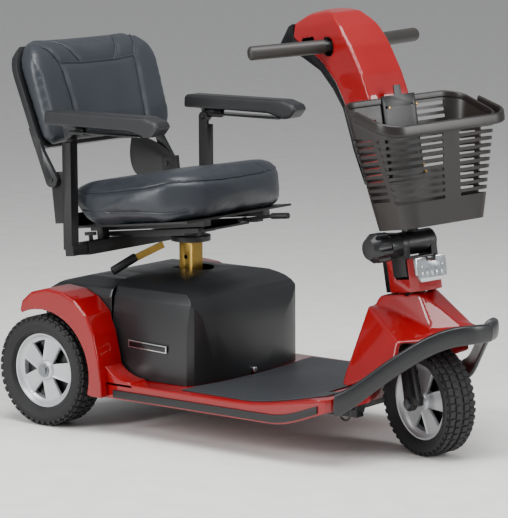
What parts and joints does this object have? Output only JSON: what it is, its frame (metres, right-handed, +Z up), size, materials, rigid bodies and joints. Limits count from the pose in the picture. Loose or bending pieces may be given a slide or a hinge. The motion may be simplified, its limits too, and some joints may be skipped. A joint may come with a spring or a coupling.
{
  "type": "mobility scooter",
  "caption": "Three-wheel mobility scooter with a swivelling seat, flip-up armrests, a tilting tiller with handlebar and headlight, a lift-off front basket and a flat footwell.",
  "frame": {"origin": "middle of the bounding box on the ground", "axes": "+X forward, +Y rider's left, +Z up"},
  "size_m": [1.1797, 0.584, 0.9548],
  "materials": {
    "frame_black": "satin black powder coat",
    "red_shell": "candy apple red gloss",
    "black_shell": "moulded black, fine texture",
    "gloss_black": "semi-gloss black",
    "mat_rubber": "ribbed dark grey mat",
    "strip_rubber": "satin rubber strip",
    "tyre": "black block tread",
    "rim_silver": "silver paint",
    "steel": "turned steel",
    "cast": "as cast",
    "motor": "black enamel",
    "battery_case": "moulded case",
    "controller": "extruded fins",
    "tail_lens": "red lens",
    "lamp_silver": "silvered bezel",
    "lamp_lens": "clear lens",
    "grip": "grey-brown satin grip",
    "basket_plastic": "dark brown-black moulded",
    "zinc_gold": "yellow zinc passivated",
    "vinyl": "charcoal grained vinyl",
    "pad_vinyl": "moulded soft armrest",
    "yellow": "yellow moulded",
    "chrome": "plated"
  },
  "bodies": {
    "chassis": {"main_frame": "frame_black", "floor_pan": "red_shell", "floor_mat": "mat_rubber", "front_shroud": "red_shell", "front_bumper": "black_shell", "side_strips": "strip_rubber", "battery_cover": "black_shell", "rear_shroud": "black_shell", "rear_fenders": "red_shell", "battery_pack": "battery_case", "controller": "controller", "transaxle": "cast", "drive_motor": "motor", "seat_tower": "frame_black", "tail_lights": "tail_lens", "steering_bearings": "steel"},
    "freewheel_lever": {"freewheel_lever": "yellow"},
    "fork": {"fork": "frame_black", "front_axle": "steel", "column_cover": "red_shell", "column_back_cover": "gloss_black", "headlight_housing": "lamp_silver", "headlight_lens": "lamp_lens"},
    "front_wheel": {"front_rim": "rim_silver", "front_tyre": "tyre", "front_bearings": "steel"},
    "rear_wheel_right": {"rear_rim_right": "rim_silver", "rear_tyre_right": "tyre", "axle_shaft_right": "steel"},
    "rear_wheel_left": {"rear_rim_left": "rim_silver", "rear_tyre_left": "tyre", "axle_shaft_left": "steel"},
    "tiller": {"tiller_tube": "frame_black", "tiller_cover": "red_shell", "tiller_back_cover": "gloss_black", "console": "gloss_black", "handlebar": "frame_black", "grips": "grip", "basket_bracket": "frame_black"},
    "tilt_knob": {"tilt_knob": "black_shell"},
    "basket": {"basket": "basket_plastic"},
    "basket_handle": {"basket_handle": "basket_plastic"},
    "speed_dial": {"speed_dial": "black_shell"},
    "ignition_key": {"ignition_key": "chrome"},
    "horn_button": {"horn_button": "yellow"},
    "throttle_lever": {"throttle_lever": "black_shell"},
    "seat_post": {"seat_post": "zinc_gold"},
    "swivel": {"swivel_base": "frame_black"},
    "swivel_lever": {"swivel_lever": "zinc_gold"},
    "seat": {"seat_pan": "frame_black", "seat_cushion": "vinyl"},
    "slide_lever": {"slide_lever": "frame_black"},
    "backrest": {"back_frame": "black_shell", "back_cushion": "vinyl"},
    "armrest_right": {"armrest_frame_right": "frame_black"},
    "armrest_left": {"armrest_frame_left": "frame_black"},
    "arm_pad_right": {"armrest_pad_right": "pad_vinyl"},
    "arm_pad_left": {"armrest_pad_left": "pad_vinyl"},
    "arm_knob_right": {"armrest_knob_right": "black_shell"},
    "arm_knob_left": {"armrest_knob_left": "black_shell"}
  },
  "joints": [
    {"name": "steering", "type": "hinge", "parent": "chassis", "child": "fork", "pos_m": [0.445, 0, 0], "axis": [-0.1599, 0, 0.9871], "range_deg": [-22, 58]},
    {"name": "front_wheel_spin", "type": "hinge", "parent": "fork", "child": "front_wheel", "pos_m": [0.42162, 0.00124, 0.12055], "axis": [0.305, 0.9511, 0.0494], "continuous": true},
    {"name": "rear_wheel_right_spin", "type": "hinge", "parent": "chassis", "child": "rear_wheel_right", "pos_m": [-0.448, -0.254, 0.127], "axis": [0, 1, 0], "continuous": true},
    {"name": "rear_wheel_left_spin", "type": "hinge", "parent": "chassis", "child": "rear_wheel_left", "pos_m": [-0.448, 0.254, 0.127], "axis": [0, 1, 0], "continuous": true},
    {"name": "tiller_tilt", "type": "hinge", "parent": "fork", "child": "tiller", "pos_m": [0.38176, -0.00371, 0.46183], "axis": [0.305, 0.9511, 0.0494], "range_deg": [-15, 22]},
    {"name": "tilt_knob_turn", "type": "hinge", "parent": "fork", "child": "tilt_knob", "pos_m": [0.38176, -0.00371, 0.46183], "axis": [0.305, 0.9511, 0.0494], "range_deg": [0, 360]},
    {"name": "basket_lift", "type": "slide", "parent": "tiller", "child": "basket", "axis": [-0.1599, 0, 0.9871], "range_m": [0, 0.06]},
    {"name": "basket_handle_swing", "type": "hinge", "parent": "basket", "child": "basket_handle", "pos_m": [0.41242, -0.02843, 0.74842], "axis": [0.305, 0.9511, 0.0494], "range_deg": [-110, 0]},
    {"name": "speed_dial_turn", "type": "hinge", "parent": "tiller", "child": "speed_dial", "pos_m": [0.00833, 0.09836, 0.88355], "axis": [-0.7324, 0.2011, 0.6505], "range_deg": [-135, 135]},
    {"name": "ignition_key_turn", "type": "hinge", "parent": "tiller", "child": "ignition_key", "pos_m": [-0.00082, 0.06983, 0.88207], "axis": [-0.7324, 0.2011, 0.6505], "range_deg": [0, 60]},
    {"name": "horn_press", "type": "slide", "parent": "tiller", "child": "horn_button", "axis": [0.7324, -0.2011, -0.6505], "range_m": [0, 0.003], "stiffness_N_per_m": 300},
    {"name": "throttle_rock", "type": "hinge", "parent": "tiller", "child": "throttle_lever", "pos_m": [0.10577, 0.06335, 0.87502], "axis": [-0.1599, 0, 0.9871], "range_deg": [-8, 8], "stiffness_Nm_per_rad": 2},
    {"name": "freewheel_lever_turn", "type": "hinge", "parent": "chassis", "child": "freewheel_lever", "pos_m": [-0.486, -0.082, 0.214], "axis": [0, -1, 0], "range_deg": [0, 30]},
    {"name": "seat_height", "type": "slide", "parent": "chassis", "child": "seat_post", "axis": [0, 0, 1], "range_m": [0, 0.05]},
    {"name": "seat_swivel", "type": "hinge", "parent": "seat_post", "child": "swivel", "pos_m": [-0.24, 0, 0.44], "axis": [0, 0, 1], "range_deg": [-90, 90]},
    {"name": "swivel_lever_lift", "type": "hinge", "parent": "swivel", "child": "swivel_lever", "pos_m": [-0.284, -0.046, 0.414], "axis": [-0.859, 0.512, 0], "range_deg": [0, 7], "stiffness_Nm_per_rad": 3},
    {"name": "seat_slide", "type": "slide", "parent": "swivel", "child": "seat", "axis": [0.9936, 0, 0.1132], "range_m": [-0.05, 0.05]},
    {"name": "slide_lever_lift", "type": "hinge", "parent": "seat", "child": "slide_lever", "pos_m": [-0.1219, 0.042, 0.46352], "axis": [0, -1, 0], "range_deg": [0, 6], "stiffness_Nm_per_rad": 3},
    {"name": "back_fold", "type": "hinge", "parent": "seat", "child": "backrest", "pos_m": [-0.47367, 0, 0.5563], "axis": [0, 1, 0], "range_deg": [0, 88]},
    {"name": "armrest_right_width", "type": "slide", "parent": "seat", "child": "armrest_right", "axis": [0, -1, 0], "range_m": [0, 0.04]},
    {"name": "armrest_left_width", "type": "slide", "parent": "seat", "child": "armrest_left", "axis": [0, 1, 0], "range_m": [0, 0.04]},
    {"name": "armrest_right_flip", "type": "hinge", "parent": "armrest_right", "child": "arm_pad_right", "pos_m": [-0.39, -0.243, 0.668], "axis": [0, -1, 0], "range_deg": [0, 90]},
    {"name": "armrest_left_flip", "type": "hinge", "parent": "armrest_left", "child": "arm_pad_left", "pos_m": [-0.39, 0.243, 0.668], "axis": [0, -1, 0], "range_deg": [0, 90]},
    {"name": "arm_knob_right_turn", "type": "hinge", "parent": "seat", "child": "arm_knob_right", "pos_m": [-0.38895, -0.178, 0.43108], "axis": [-0.1132, 0, 0.9936], "range_deg": [0, 180]},
    {"name": "arm_knob_left_turn", "type": "hinge", "parent": "seat", "child": "arm_knob_left", "pos_m": [-0.38895, 0.178, 0.43108], "axis": [-0.1132, 0, 0.9936], "range_deg": [0, 180]}
  ]
}
